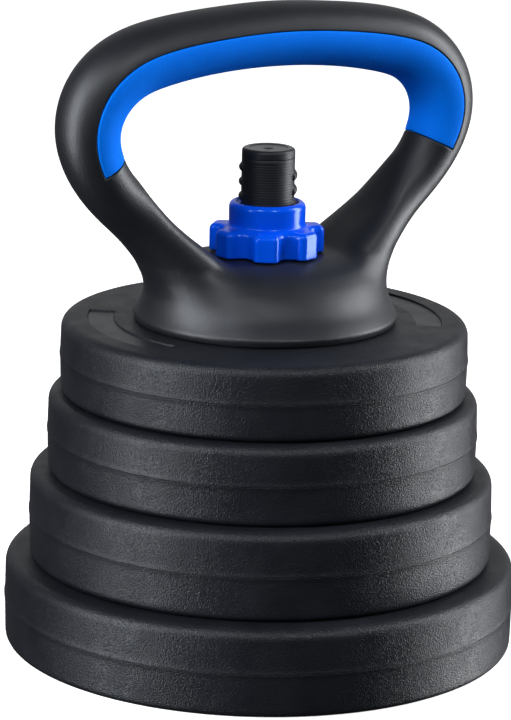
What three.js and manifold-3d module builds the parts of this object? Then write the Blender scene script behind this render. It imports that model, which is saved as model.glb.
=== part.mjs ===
// Adjustable kettlebell: four round filled plates stacked on a threaded rod, a closed-loop handle
// that drops over the rod, and a star nut that clamps the stack.
// Millimetres, +Z up. The origin is the centre of the underside, and the handle's loop lies in the
// XZ plane. Seen from above, the rod's thread is right-handed, so the nut rises as it turns left.
import * as THREE from "three";
import { mergeVertices } from "three/addons/utils/BufferGeometryUtils.js";
import Module from "manifold-3d";

// ---- driving dimensions ----
const GAP = 0.3; // clearance between pieces that touch or turn on each other
const AROUND = 32; // facets round a plate

// Plates from the bottom up: outer radius at the seam, and the heights of the underside and the top.
const PLATES = [
  { name: "base_plate", radius: 120, bottom: 0, top: 40.9 },
  { name: "lower_plate", radius: 108.8, bottom: 40.9, top: 82.1 },
  { name: "middle_plate", radius: 100.6, bottom: 82.1, top: 119.2 },
  { name: "top_plate", radius: 95, bottom: 119.2, top: 153.8 },
];
const PLATE_BORE = 14.5;
const SHELL_WALL = 3.2;
const DRAFT = 0.6; // how far a side leans in from the seam to each edge
const TOP_CORNER = 5;
const BOTTOM_CORNER = 3;
const PLUG = { radius: 8, depth: 3.2, at: 58 }; // filler plug, under each plate
const PANEL = { inner: 70, outer: 82, depth: 0.8, sweep: 61, starts: [144, -36] }; // degrees

const ROD = { radius: 12.3, top: 234, bottom: 9, core: 9.2, coreBore: 6.5 };
const CAP = { head: 4, stem: 12, corner: 1.6, disc: 8, sunk: 0.6 }; // plug in the rod's upper end
// One ridge that climbs a pitch for each turn. On the rod it is cut away at the front and the back,
// so that it stands only in two sectors on opposite sides (degrees).
const THREAD = { pitch: 6.8, ridge: 2.3, at: 11.2, from: 181, to: 228.2, rise: -2.5, around: 24, rows: 7 };
const SECTOR = { middle: -30, half: 24 };
const FLANGE = { across: 52, bottom: 3, top: 9 }; // hexagonal foot of the rod, across its corners
const BOLT = { radius: 4, head: 8, headHeight: 2.4, headTop: 3 - GAP, length: 32 };
const POCKET = { clearance: 1, wallRadius: 31.2 }; // the flange's pocket in the base plate

const NUT = { bottom: 185.1, flangeTop: 197.6, top: 209, hub: 17.7, lobes: 7, tip: 26.4 };
const NOTCH = { radius: 5.4, at: 26.2 }; // round hollows between the nut's lobes
const NUT_PHASE = -120; // degrees, the first lobe's direction
const NUT_EDGE = 1.2; // bevel round the lobes
const HUB_EDGE = 2.4; // rounding at the hub's top
const NUT_BORE = 11; // before the thread is cut
const NUT_FLARE = { from: 3.2, to: 0.6, radius: 14.6 }; // the mouth, as depths below the nut's top
const GASKET = { inner: 14.3, outer: 17.2, bottom: 184.8, top: 187 };
const THREAD_CLEARANCE = 0.4;

const DECK = 184.5; // the handle's seat for the nut
const HANDLE_FOOT = 153.8;
const GRIP = { depth: 3, halfAngle: 102, from: 0.2, to: 0.8 }; // the ends are shares of the loop
const GRIP_INSET = 0.004; // gap at each end of the grip, as a share of the loop
const RECESS_WALL = 0.0015; // length of the recess's end walls, as a share of the loop

// Half of the loop's centre line, from its root in the neck to the crown: place in the XZ plane, and
// half the bar's thickness in that plane and across it.
const HALF_LOOP = [
  { x: 34, z: 172, thick: 18, wide: 30 },
  { x: 55, z: 195, thick: 14.6, wide: 21 },
  { x: 66, z: 205.4, thick: 13.2, wide: 17 },
  { x: 78, z: 216, thick: 12.6, wide: 14.8 },
  { x: 88.4, z: 230, thick: 13.3, wide: 14.8 },
  { x: 93, z: 247, thick: 14.4, wide: 15.9 },
  { x: 88.2, z: 263.3, thick: 15.2, wide: 17 },
  { x: 75, z: 275.3, thick: 15.4, wide: 17.5 },
  { x: 57.5, z: 281.1, thick: 15.3, wide: 17.4 },
  { x: 30, z: 285, thick: 14.8, wide: 17.3 },
  { x: 0, z: 286.5, thick: 14.8, wide: 17.1 },
];

// The saddle between the arms, as it rises from the level deck: place in the XZ plane.
const SADDLE = [[27, DECK], [40, 193], [50, 201], [60, 211.5], [70, 225.5], [74, 233]];

// Level sections of the neck: half width along X and along Y.
const NECK = [
  { z: HANDLE_FOOT, x: 60.3, y: 60.3 },
  { z: 156.8, x: 61.3, y: 61.3 },
  { z: 160, x: 59.8, y: 58.4 },
  { z: 164, x: 58.8, y: 54 },
  { z: 169, x: 58, y: 50 },
  { z: 174, x: 58.2, y: 45.6 },
  { z: 178, x: 59, y: 40.6 },
  { z: 181.5, x: 60.6, y: 34.8 },
  { z: DECK, x: 62.6, y: 27.8 },
  { z: 188, x: 64.8, y: 19.5 },
];

// The neck's hollow from below, outside the boss that guides the rod: radius and height.
const GUIDE_RADIUS = 19;
const HOLLOW = [[54, HANDLE_FOOT + 2], [47, 165], [41, 175], [34, 179.5]];
const HOLLOW_TOP = 179.5;

const COLOURS = {
  shell: { color: 0x1b1c20, roughness: 0.6, metalness: 0 },
  handle: { color: 0x17181c, roughness: 0.5, metalness: 0 },
  grip: { color: 0x0a63d6, roughness: 0.75, metalness: 0 },
  nut: { color: 0x0446c8, roughness: 0.25, metalness: 0 },
  rod: { color: 0x1d1e22, roughness: 0.55, metalness: 0 },
  cement: { color: 0x8c8a84, roughness: 0.95, metalness: 0 },
  steel: { color: 0x9a9da1, roughness: 0.4, metalness: 1 },
  rubber: { color: 0x121214, roughness: 0.85, metalness: 0 },
};

const wasm = await Module();
wasm.setup();
const rad = THREE.MathUtils.degToRad;
const kettlebell = new THREE.Group();

// ---- helpers ----
function solid(geometry) {
  const bare = geometry.clone();
  bare.deleteAttribute("normal");
  bare.deleteAttribute("uv");
  const merged = mergeVertices(bare, 1e-4);
  return new wasm.Manifold(
    new wasm.Mesh({
      numProp: 3,
      vertProperties: new Float32Array(merged.attributes.position.array),
      triVerts: new Uint32Array(merged.index.array),
    }),
  );
}

function geometryOf(manifold) {
  const mesh = manifold.getMesh();
  const geometry = new THREE.BufferGeometry();
  geometry.setAttribute("position", new THREE.BufferAttribute(mesh.vertProperties, 3));
  geometry.setIndex(new THREE.BufferAttribute(mesh.triVerts, 1));
  geometry.computeVertexNormals();
  return geometry;
}

function addMesh(name, geometry, finish) {
  const mesh = new THREE.Mesh(geometry, new THREE.MeshStandardMaterial(COLOURS[finish]));
  mesh.name = name;
  kettlebell.add(mesh);
}

// Evenly spaced values from one end to the other.
function spread(from, to, steps) {
  return Array.from({ length: steps + 1 }, (_, i) => from + ((to - from) * i) / steps);
}

// A body of revolution about Z from [radius, height] pairs, listed counter-clockwise.
function turned(profile, segments = AROUND) {
  const points = profile.map(([radius, height]) => new THREE.Vector2(radius, height));
  return new THREE.LatheGeometry(points, segments).rotateX(Math.PI / 2);
}

// A ring of revolution: the profile closes on itself.
const ring = (profile, segments) => turned([...profile, profile[0]], segments);

function cylinder(radius, bottom, top, segments) {
  return turned([[0, bottom], [radius, bottom], [radius, top], [0, top]], segments);
}

// Points of a quarter round from angle a to angle b, in degrees, about a centre in the profile.
function corner(centreR, centreZ, radius, a, b, steps) {
  return Array.from({ length: steps + 1 }, (_, i) => {
    const angle = rad(a + ((b - a) * i) / steps);
    return [centreR + radius * Math.cos(angle), centreZ + radius * Math.sin(angle)];
  });
}

// A closed skin over rings of points, each ring listed counter-clockwise seen from the last ring.
// Its ends are capped, or the last ring joins the first one when it is an endless tube.
function loft(rings, endless = false) {
  const count = rings[0].length;
  const faces = [];
  const last = endless ? rings.length : rings.length - 1;
  for (let i = 0; i < last; i++)
    for (let j = 0; j < count; j++) {
      const a = i * count + j;
      const b = i * count + ((j + 1) % count);
      const c = ((i + 1) % rings.length) * count + ((j + 1) % count);
      const d = ((i + 1) % rings.length) * count + j;
      faces.push(a, b, c, a, c, d);
    }
  const top = (rings.length - 1) * count;
  for (let j = 1; j + 1 < count && !endless; j++)
    faces.push(0, j + 1, j, top, top + j, top + j + 1);
  const geometry = new THREE.BufferGeometry().setFromPoints(rings.flat());
  geometry.setIndex(faces);
  return geometry;
}

// A level ring of points about Z, where radiusAt gives the radius for each angle.
function levelRing(z, count, radiusAt) {
  return Array.from({ length: count }, (_, j) => {
    const angle = (2 * Math.PI * j) / count;
    const radius = radiusAt(angle);
    return new THREE.Vector3(radius * Math.cos(angle), radius * Math.sin(angle), z);
  });
}

// Rings of a single-start thread: a round ridge that climbs one pitch each turn to the left.
function threadRings(clearance, from, to, ridged = () => true) {
  const steps = Math.round(((to - from) / THREAD.pitch) * THREAD.rows);
  return spread(from, to, steps).map((z) =>
    levelRing(z, THREAD.around, (angle) => {
      const turn = (z - THREAD.rise) / THREAD.pitch - angle / (2 * Math.PI);
      const away = (turn - Math.round(turn)) * THREAD.pitch;
      const ridge = THREAD.ridge + clearance;
      const crest = THREAD.at + Math.sqrt(Math.max(0, ridge * ridge - away * away));
      return ridged(angle) ? Math.max(ROD.radius + clearance, crest) : ROD.radius + clearance;
    }));
}

// Whether an angle round the rod lies in one of the two sectors that carry the ridge.
function inSector(angle) {
  const half = Math.PI / 2;
  const away = (angle - rad(SECTOR.middle) + half + 4 * Math.PI) % Math.PI;
  return Math.abs(away - half) < rad(SECTOR.half);
}

// A shallow smooth panel sunk in the top plate's face: a sector of a ring.
function panelPocket(start, face) {
  const from = rad(start);
  const to = rad(start + PANEL.sweep);
  const outline = new THREE.Shape();
  outline.absarc(0, 0, PANEL.outer, from, to, false);
  outline.absarc(0, 0, PANEL.inner, to, from, true);
  const options = { depth: PANEL.depth + 1, curveSegments: 10, bevelEnabled: false };
  return new THREE.ExtrudeGeometry(outline, options).translate(0, 0, face - PANEL.depth);
}

// The rod's hexagonal foot, or its pocket with a clearance.
function hexagon(clearance, bottom, top) {
  const radius = FLANGE.across / 2 + clearance;
  return new THREE.CylinderGeometry(radius, radius, top - bottom, 6)
    .rotateX(Math.PI / 2)
    .translate(0, 0, (top + bottom) / 2);
}

// ---- plates ----
// Each plate is two moulded half shells welded at mid height, a cement fill and a filler plug.
for (const plate of PLATES) {
  const seam = (plate.bottom + plate.top) / 2;
  const lid = plate.top - GAP;
  const rim = plate.radius - DRAFT;
  const inside = plate.radius - SHELL_WALL;
  const sleeve = PLATE_BORE + SHELL_WALL;
  const isTop = plate.name === "top_plate";
  const upper = ring([
    [inside, seam],
    [plate.radius, seam],
    ...corner(rim - TOP_CORNER, lid - TOP_CORNER, TOP_CORNER, 0, 90, 2),
    [PLATE_BORE, lid],
    [PLATE_BORE, seam],
    [sleeve, seam],
    [sleeve, lid - SHELL_WALL],
    [inside - TOP_CORNER, lid - SHELL_WALL],
    [inside - DRAFT, lid - SHELL_WALL - TOP_CORNER],
  ]);
  const lower = ring([
    [sleeve, seam - GAP / 2],
    [PLATE_BORE, seam - GAP / 2],
    [PLATE_BORE, plate.bottom],
    ...corner(rim - BOTTOM_CORNER, plate.bottom + BOTTOM_CORNER, BOTTOM_CORNER, -90, 0, 1),
    [plate.radius, seam - GAP / 2],
    [inside, seam - GAP / 2],
    [inside - DRAFT, plate.bottom + SHELL_WALL + BOTTOM_CORNER],
    [inside - DRAFT - BOTTOM_CORNER, plate.bottom + SHELL_WALL],
    [sleeve, plate.bottom + SHELL_WALL],
  ]);
  const fill = inside - DRAFT - GAP;
  const fillBottom = plate.bottom + SHELL_WALL + GAP;
  let core = solid(ring([
    [sleeve + GAP, fillBottom],
    [fill - BOTTOM_CORNER, fillBottom],
    [fill, fillBottom + BOTTOM_CORNER],
    [fill, lid - SHELL_WALL - TOP_CORNER],
    [fill - TOP_CORNER, lid - SHELL_WALL - GAP],
    [sleeve + GAP, lid - SHELL_WALL - GAP],
  ]));

  let upperSolid = solid(upper);
  for (const start of isTop ? PANEL.starts : [])
    upperSolid = upperSolid.subtract(solid(panelPocket(start, lid)));
  const plugHole = cylinder(PLUG.radius + GAP, plate.bottom - 1, plate.bottom + SHELL_WALL + 1, 12);
  let lowerSolid = solid(lower).subtract(solid(plugHole.translate(PLUG.at, 0, 0)));
  if (plate.name === "base_plate") {
    // The rod's hexagonal foot sits in a pocket of the same shape, so that the rod can't turn.
    const pocketTop = FLANGE.top + SHELL_WALL + GAP;
    const wall = solid(cylinder(POCKET.wallRadius, plate.bottom, pocketTop, 24));
    const pocket = solid(hexagon(POCKET.clearance, plate.bottom - 1, FLANGE.top + GAP));
    const bore = solid(cylinder(PLATE_BORE, plate.bottom - 1, seam, 24));
    lowerSolid = lowerSolid.add(wall).subtract(pocket).subtract(bore);
    const room = cylinder(POCKET.wallRadius + GAP, fillBottom - 1, pocketTop + GAP, 24);
    core = core.subtract(solid(room));
  }
  addMesh(plate.name + "_upper_shell", geometryOf(upperSolid), "shell");
  addMesh(plate.name + "_lower_shell", geometryOf(lowerSolid), "shell");
  addMesh(plate.name + "_cement_core", geometryOf(core), "cement");
  const plug = cylinder(PLUG.radius, plate.bottom, plate.bottom + PLUG.depth, 12);
  addMesh(plate.name + "_filler_plug", plug.translate(PLUG.at, 0, 0), "rubber");
}

// ---- rod ----
const capBottom = ROD.top - CAP.head;
const plain = (z, radius) => levelRing(z, THREAD.around, () => radius);
addMesh("rod_sleeve", loft([
  plain(ROD.bottom + GAP, ROD.radius),
  plain(THREAD.from - 1, ROD.radius),
  ...threadRings(0, THREAD.from, THREAD.to, inSector),
  plain(capBottom - GAP, ROD.radius),
  plain(capBottom - GAP, ROD.core + GAP),
  plain(ROD.bottom + GAP, ROD.core + GAP),
], true), "rod");

addMesh("rod_core", ring([
  [ROD.coreBore, ROD.bottom + GAP],
  [ROD.core, ROD.bottom + GAP],
  [ROD.core, capBottom - GAP],
  [ROD.coreBore, capBottom - GAP],
], THREAD.around), "steel");

// The plug in the rod's end: a stem in the core's bore and a rounded head with a sunk disc.
addMesh("rod_top_cap", turned([
  [0, capBottom - CAP.stem],
  [ROD.coreBore - GAP, capBottom - CAP.stem],
  [ROD.coreBore - GAP, capBottom],
  [ROD.radius, capBottom],
  ...corner(ROD.radius - CAP.corner, ROD.top - CAP.corner, CAP.corner, 0, 90, 2),
  [CAP.disc, ROD.top],
  [CAP.disc - CAP.sunk, ROD.top - CAP.sunk],
  [0, ROD.top - CAP.sunk],
], 24), "rod");

const boltHole = solid(cylinder(BOLT.radius + GAP, FLANGE.bottom - 1, FLANGE.top + 1, 16));
const foot = solid(hexagon(0, FLANGE.bottom, FLANGE.top)).subtract(boltHole);
addMesh("rod_foot_flange", geometryOf(foot), "steel");

const headBottom = BOLT.headTop - BOLT.headHeight;
addMesh("rod_foot_bolt", turned([
  [0, headBottom],
  [BOLT.head, headBottom],
  [BOLT.head, BOLT.headTop],
  [BOLT.radius, BOLT.headTop],
  [BOLT.radius, BOLT.headTop + BOLT.length],
  [0, BOLT.headTop + BOLT.length],
], 16), "steel");

// ---- handle ----
const knots = [
  ...HALF_LOOP.slice(0, -1).map((k) => ({ ...k, x: -k.x })),
  ...HALF_LOOP.toReversed(),
];
const centreLine = new THREE.CatmullRomCurve3(knots.map((k) => new THREE.Vector3(k.x, 0, k.z)));
const girth = new THREE.CatmullRomCurve3(knots.map((k) => new THREE.Vector3(k.thick, k.wide, 0)));

// A ring of points round the bar at t, a share of the loop. The outline gives each point's angle in
// degrees from the loop's inner side, and how deep it lies under the bar's surface.
function barRing(t, outline) {
  const centre = centreLine.getPoint(t);
  const size = girth.getPoint(t);
  const along = centreLine.getTangent(t);
  const inward = new THREE.Vector3(along.z, 0, -along.x);
  return outline.map(([angle, depth]) =>
    centre.clone()
      .addScaledVector(inward, (size.x - depth) * Math.cos(rad(angle)))
      .add(new THREE.Vector3(0, (size.y - depth) * Math.sin(rad(angle)), 0)));
}

// The bar's section: the back, then the inner side, which the grip's recess sinks by depth.
function barOutline(depth) {
  const lip = GRIP.halfAngle + 3.5;
  const back = spread(lip, 360 - lip, 8).map((angle) => [angle, 0]);
  const floorHalf = GRIP.halfAngle + 1.7;
  const inner = spread(-floorHalf, floorHalf, 8).map((angle) => [angle, depth]);
  return [...back, ...inner];
}

// All that stands above the saddle between the arms is cut away, from front to back.
function aboveSaddle() {
  const points = SADDLE.map(([x, z]) => new THREE.Vector2(x, z));
  const right = new THREE.SplineCurve(points).getPoints(12);
  const left = right.map(({ x, y }) => new THREE.Vector2(-x, y)).reverse();
  const depth = 140;
  return new THREE.ExtrudeGeometry(new THREE.Shape([...left, ...right]), { depth, bevelEnabled: false })
    .rotateX(Math.PI / 2)
    .translate(0, depth / 2, 0);
}

const shallow = barOutline(0);
const sunk = barOutline(GRIP.depth + GAP);
const loop = solid(loft([
  ...spread(0, GRIP.from - RECESS_WALL, 8).map((t) => barRing(t, shallow)),
  ...spread(GRIP.from, GRIP.to, 24).map((t) => barRing(t, sunk)),
  ...spread(GRIP.to + RECESS_WALL, 1, 8).map((t) => barRing(t, shallow)),
]));

const NECK_SIDES = 36;
const neck = solid(loft(NECK.map(({ z, x, y }) =>
  Array.from({ length: NECK_SIDES }, (_, j) => {
    const angle = (2 * Math.PI * j) / NECK_SIDES;
    return new THREE.Vector3(x * Math.cos(angle), y * Math.sin(angle), z);
  }))));

const hollow = solid(ring([
  [GUIDE_RADIUS, HANDLE_FOOT - 1],
  [HOLLOW[0][0], HANDLE_FOOT - 1],
  ...HOLLOW,
  [GUIDE_RADIUS, HOLLOW_TOP],
], 24));
const rodHole = solid(cylinder(PLATE_BORE, HANDLE_FOOT - 1, 240, 24));
const nutSeat = solid(cylinder(NUT.tip + 3, DECK, 215, 24));

// The grip is a band that fills the recess.
const gripOutline = [
  ...spread(-GRIP.halfAngle, GRIP.halfAngle, 8).map((angle) => [angle, 0]),
  ...spread(GRIP.halfAngle, -GRIP.halfAngle, 8).map((angle) => [angle, GRIP.depth]),
];
const gripRun = spread(GRIP.from + GRIP_INSET, GRIP.to - GRIP_INSET, 24);
const grip = loft(gripRun.map((t) => barRing(t, gripOutline)));

const horn = loop.add(neck).subtract(solid(aboveSaddle())).subtract(nutSeat);
const handle = horn.subtract(hollow).subtract(rodHole);
addMesh("handle_body", geometryOf(handle), "handle");
addMesh("grip_insert", grip, "grip");

// ---- star nut ----
// The flange's outline: flat-tipped lobes with a round notch between each two.
function starOutline() {
  const outline = new THREE.Shape();
  const step = (2 * Math.PI) / NUT.lobes;
  const tipToNotch = NUT.tip - NOTCH.at * Math.cos(step / 2);
  const opening = Math.acos(tipToNotch / NOTCH.radius) + step / 2;
  for (let i = 0; i < NUT.lobes; i++) {
    const middle = rad(NUT_PHASE) + (i + 0.5) * step;
    const x = NOTCH.at * Math.cos(middle);
    const y = NOTCH.at * Math.sin(middle);
    outline.absarc(x, y, NOTCH.radius, middle - opening, middle + opening, true);
  }
  return outline;
}

const flange = new THREE.ExtrudeGeometry(starOutline(), {
  depth: NUT.flangeTop - NUT.bottom - 2 * NUT_EDGE,
  curveSegments: 6,
  bevelEnabled: true,
  bevelThickness: NUT_EDGE,
  bevelSize: NUT_EDGE,
  bevelOffset: -NUT_EDGE,
  bevelSegments: 1,
}).translate(0, 0, NUT.bottom + NUT_EDGE);
const hub = turned([
  [0, NUT.bottom + 1],
  [NUT.hub, NUT.bottom + 1],
  ...corner(NUT.hub - HUB_EDGE, NUT.top - HUB_EDGE, HUB_EDGE, 0, 90, 2),
  [0, NUT.top],
], 28);
const bore = turned([
  [0, NUT.bottom - 3],
  [GASKET.outer + GAP, NUT.bottom - 3],
  [GASKET.outer + GAP, GASKET.top + GAP],
  [NUT_BORE, GASKET.top + GAP],
  [NUT_BORE, NUT.top - NUT_FLARE.from],
  [NUT_FLARE.radius, NUT.top - NUT_FLARE.to],
  [NUT_FLARE.radius, NUT.top + 1],
  [0, NUT.top + 1],
], 24);
const tap = solid(loft(threadRings(THREAD_CLEARANCE, GASKET.top - 1, NUT.top - 1)));
const nut = solid(flange).add(solid(hub)).subtract(solid(bore)).subtract(tap);
addMesh("star_nut", geometryOf(nut), "nut");

addMesh("nut_gasket", ring([
  [GASKET.inner, GASKET.bottom],
  [GASKET.outer, GASKET.bottom],
  [GASKET.outer, GASKET.top],
  [GASKET.inner, GASKET.top],
], 24), "rubber");

export default kettlebell;
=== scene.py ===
"""Adjustable kettlebell: the looks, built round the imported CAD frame.

Shapes are written in millimetres and scaled to metres when a mesh is made. The handle's loop lies in
the XZ plane, and the origin is the centre of the underside, as in the CAD.
"""
import math

import bmesh
import bpy
import numpy as np
from mathutils import Matrix, Vector


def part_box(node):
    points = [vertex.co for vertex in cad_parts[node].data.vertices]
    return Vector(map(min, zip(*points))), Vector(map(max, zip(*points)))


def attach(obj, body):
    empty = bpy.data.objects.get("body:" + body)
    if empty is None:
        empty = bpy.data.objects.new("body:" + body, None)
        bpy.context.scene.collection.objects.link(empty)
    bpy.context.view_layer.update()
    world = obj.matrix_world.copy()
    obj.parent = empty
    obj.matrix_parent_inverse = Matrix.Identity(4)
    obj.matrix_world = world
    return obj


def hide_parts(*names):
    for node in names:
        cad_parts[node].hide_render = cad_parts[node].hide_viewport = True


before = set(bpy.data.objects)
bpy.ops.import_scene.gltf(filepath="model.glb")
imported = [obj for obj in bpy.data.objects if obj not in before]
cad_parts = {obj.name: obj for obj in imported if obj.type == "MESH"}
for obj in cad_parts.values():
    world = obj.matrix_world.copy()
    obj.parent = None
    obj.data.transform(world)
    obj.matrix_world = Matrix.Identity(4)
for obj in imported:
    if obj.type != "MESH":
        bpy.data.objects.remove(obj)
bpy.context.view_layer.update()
MM = 0.001
GAP = 0.3  # clearance between pieces that touch or turn on each other


def span(node):
    """A CAD node's lowest and highest corner, in millimetres."""
    low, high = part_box(node)
    return np.array(low) / MM, np.array(high) / MM


# ---------------------------------------------------------------- numbers from the frame
NUT_LOW, NUT_HIGH = span("star_nut")
GASKET_LOW, GASKET_HIGH = span("nut_gasket")
ROD_LOW, ROD_HIGH = span("rod_sleeve")
CAP_LOW, CAP_HIGH = span("rod_top_cap")
BODY_LOW, BODY_HIGH = span("handle_body")

PLATE_BORE = 14.5
SHELL_WALL = 3.2
DRAFT = 0.6
TOP_CORNER = 5.0
BOTTOM_CORNER = 3.0
PLUG_RADIUS, PLUG_AT = 8.0, 58.0
POCKET_WALL, POCKET_ROOF, POCKET_SIZE, POCKET_TOP = 31.2, 12.5, 27.0, 9.3  # the rod's foot is in it
ROD_RADIUS = 12.3
FOOT = BODY_LOW[2]
AROUND = 720  # segments round a plate, so that a segment is half a degree
WELD = 1e-6  # in metres: corners that a cut leaves closer than this are made one
SHARP = 38.0  # degrees between two faces from which their edge is shaded sharp


# ---------------------------------------------------------------- noise and meshes
LATTICE = np.random.default_rng(11).random((48, 48, 48))


def noise(points, size):
    """Smooth value noise from 0 to 1 over points in millimetres, with features of about that size."""
    q = points / size
    cell = np.floor(q).astype(int)
    f = q - cell
    f = f * f * (3 - 2 * f)
    total = np.zeros(len(points))
    for corner in range(8):
        d = np.array([corner & 1, corner >> 1 & 1, corner >> 2 & 1])
        weight = np.prod(np.where(d, f, 1 - f), axis=1)
        i, j, k = ((cell + d) % len(LATTICE)).T
        total += weight * LATTICE[i, j, k]
    return total


def make(name, points, faces, material, body, stands_for=(), sharp=SHARP):
    """A mesh piece from points in millimetres, shaded smooth but for its sharp edges."""
    mesh = bpy.data.meshes.new(name)
    mesh.from_pydata((np.asarray(points) * MM).tolist(), [], [tuple(f) for f in faces])
    mesh.validate()
    mesh.shade_smooth()
    mesh.set_sharp_from_angle(angle=math.radians(sharp))
    obj = bpy.data.objects.new(name, mesh)
    bpy.context.scene.collection.objects.link(obj)
    for one in material if isinstance(material, (list, tuple)) else [material]:
        mesh.materials.append(one)
    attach(obj, body)
    if stands_for:
        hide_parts(*stands_for)
    return obj


def arc(centre_r, centre_z, radius, start, end, steps):
    """Points of a circle's arc in a profile, angles in degrees."""
    turn = np.radians(np.linspace(start, end, steps + 1))
    return [(centre_r + radius * math.cos(a), centre_z + radius * math.sin(a)) for a in turn]


def run(start, end, step):
    """Points from start to end with about that step, the last one left out."""
    count = max(1, round(math.dist(start, end) / step))
    share = np.arange(count)[:, None] / count
    return [tuple(p) for p in np.array(start) + share * (np.array(end) - np.array(start))]


def revolve(profile, segments):
    """Points and quads of a closed ring of revolution about Z, from a counter-clockwise profile."""
    profile = np.array(profile)
    angle = 2 * np.pi * np.arange(segments) / segments
    radius, z = profile[:, 0][:, None], profile[:, 1][:, None]
    points = np.stack([radius * np.cos(angle), radius * np.sin(angle), z + 0 * angle], axis=-1)
    rows = len(profile)
    i, j = np.meshgrid(np.arange(rows), np.arange(segments), indexing="ij")
    after, beside = (i + 1) % rows, (j + 1) % segments
    quads = np.stack([i * segments + j, i * segments + beside, after * segments + beside,
                      after * segments + j], axis=-1)
    return points.reshape(-1, 3), quads.reshape(-1, 4)


def skin(rings, closed_ends=True):
    """Points and faces over rings of points with the same count, capped with fans at both ends."""
    rings = np.array(rings)
    rows, count = rings.shape[:2]
    i, j = np.meshgrid(np.arange(rows - 1), np.arange(count), indexing="ij")
    beside = (j + 1) % count
    quads = np.stack([i * count + j, i * count + beside, (i + 1) * count + beside,
                      (i + 1) * count + j], axis=-1).reshape(-1, 4)
    faces = [tuple(q) for q in quads.tolist()]
    points = rings.reshape(-1, 3)
    if closed_ends:
        first, last = len(points), len(points) + 1
        points = np.vstack([points, rings[0].mean(0), rings[-1].mean(0)])
        base = (rows - 1) * count
        for k in range(count):
            faces.append((first, (k + 1) % count, k))
            faces.append((last, base + k, base + (k + 1) % count))
    return points, faces


def solid_turned(profile, segments, turn=0.0):
    """A solid of revolution, or a prism with few segments, closed by a flat top and bottom."""
    angles = turn + 2 * np.pi * np.arange(segments) / segments
    rings = [np.stack([r * np.cos(angles), r * np.sin(angles), np.full(segments, z)], axis=1)
             for r, z in profile]
    return skin(rings)


def cut(obj, tools):
    """Takes solids, given as points in millimetres and faces, out of a piece."""
    helpers = []
    for points, faces in tools:
        mesh = bpy.data.meshes.new("tool")
        mesh.from_pydata((np.asarray(points) * MM).tolist(), [], [tuple(f) for f in faces])
        helpers.append(bpy.data.objects.new("tool", mesh))
        bpy.context.scene.collection.objects.link(helpers[-1])
        step = obj.modifiers.new("cut", "BOOLEAN")
        step.object, step.operation, step.solver = helpers[-1], "DIFFERENCE", "EXACT"
    result = bpy.data.meshes.new_from_object(obj.evaluated_get(bpy.context.evaluated_depsgraph_get()))
    obj.modifiers.clear()
    welded = bmesh.new()
    welded.from_mesh(result)
    bmesh.ops.remove_doubles(welded, verts=welded.verts, dist=WELD)
    bmesh.ops.dissolve_degenerate(welded, edges=welded.edges, dist=WELD)
    welded.to_mesh(result)
    welded.free()
    obj.data = result
    obj.data.shade_smooth()
    obj.data.set_sharp_from_angle(angle=math.radians(SHARP))
    for helper in helpers:
        bpy.data.objects.remove(helper)


# ---------------------------------------------------------------- materials
class Nodes:
    """A new material's node tree, with short ways to add and join nodes."""

    def __init__(self, name):
        self.material = bpy.data.materials.new(name)
        self.material.use_nodes = True
        self.tree = self.material.node_tree
        self.shader = self.tree.nodes["Principled BSDF"]
        self.place = self.add("ShaderNodeTexCoord").outputs["Object"]

    def add(self, kind, **inputs):
        node = self.tree.nodes.new(kind)
        for key, value in inputs.items():
            self.put(node, key.replace("_", " "), value)
        return node

    def put(self, node, socket, value):
        target = node.inputs[socket]
        if isinstance(value, bpy.types.NodeSocket):
            self.tree.links.new(value, target)
        else:
            target.default_value = value

    def set(self, **values):
        for key, value in values.items():
            self.put(self.shader, key.replace("_", " "), value)

    def noise(self, scale, detail=2.0, roughness=0.5):
        node = self.add("ShaderNodeTexNoise", Vector=self.place, Scale=scale, Detail=detail,
                        Roughness=roughness)
        return node.outputs["Fac"]

    def cells(self, scale, feature="F1"):
        node = self.add("ShaderNodeTexVoronoi", Vector=self.place, Scale=scale)
        node.feature = feature
        return node.outputs["Distance"]

    def ramp(self, value, low, high, bottom, top):
        node = self.add("ShaderNodeMapRange")
        for socket, number in zip(("Value", "From Min", "From Max", "To Min", "To Max"),
                                  (value, low, high, bottom, top)):
            self.put(node, socket, number)
        return node.outputs["Result"]

    def math(self, operation, a, b):
        node = self.tree.nodes.new("ShaderNodeMath")
        node.operation = operation
        self.put(node, 0, a)
        self.put(node, 1, b)
        return node.outputs[0]

    def mix(self, factor, a, b):
        node = self.tree.nodes.new("ShaderNodeMix")
        node.data_type = "RGBA"
        self.put(node, 0, factor)
        self.put(node, 6, (*a, 1.0))
        self.put(node, 7, (*b, 1.0))
        return node.outputs[2]

    def bump(self, height, distance, strength=1.0, below=None):
        node = self.add("ShaderNodeBump", Height=height, Distance=distance, Strength=strength)
        if below is not None:
            self.put(node, "Normal", below)
        return node.outputs["Normal"]


def plastic(name, dark, light, rough, grain=0.0, grain_size=0.0008, fine=0.00001, specular=0.5,
            tint=(0.90, 0.94, 1.0)):
    """Moulded plastic: cloudy colour, uneven gloss, and a pebbled or finely grained surface."""
    n = Nodes(name)
    n.set(Base_Color=n.mix(n.ramp(n.noise(38.0, 4.0), 0.35, 0.7, 0.0, 1.0), dark, light),
          Roughness=n.ramp(n.noise(90.0, 3.0), 0.3, 0.7, rough[0], rough[1]),
          Specular_IOR_Level=specular)
    normal = n.bump(n.noise(2600.0, 2.0), fine)
    if grain:
        pebble = n.math("MULTIPLY", n.ramp(n.cells(1 / grain_size), 0.0, 0.75, 1.0, 0.0),
                        n.ramp(n.noise(700.0, 1.0), 0.25, 0.75, 0.35, 1.0))
        normal = n.bump(pebble, grain, 1.0, normal)
    n.set(Normal=normal)
    n.set(Specular_Tint=(*tint, 1.0))
    return n.material


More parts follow.
